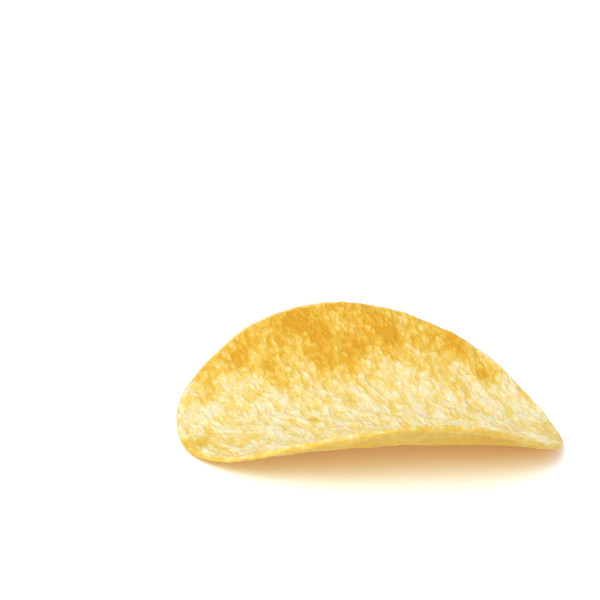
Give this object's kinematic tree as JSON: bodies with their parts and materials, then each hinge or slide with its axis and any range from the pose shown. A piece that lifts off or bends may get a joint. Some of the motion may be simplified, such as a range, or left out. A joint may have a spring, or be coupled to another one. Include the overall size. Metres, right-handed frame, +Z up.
{
  "type": "potato crisp",
  "caption": "Saddle-shaped stackable potato crisp: one thin oval sheet of fried dough with raised long sides, drooping ends and a blistered face.",
  "frame": {"origin": "centre of the crisp's box in plan, on the surface that it rests on", "axes": "+X along the crisp from end to end, +Y across it, away from the side that stands higher, +Z up"},
  "size_m": [0.0648, 0.0472, 0.0159],
  "materials": {
    "fried_dough": "fried potato dough: matt, slightly oily, cream crests over golden hollows"
  },
  "bodies": {
    "root": {"crisp": "fried_dough"}
  },
  "joints": []
}
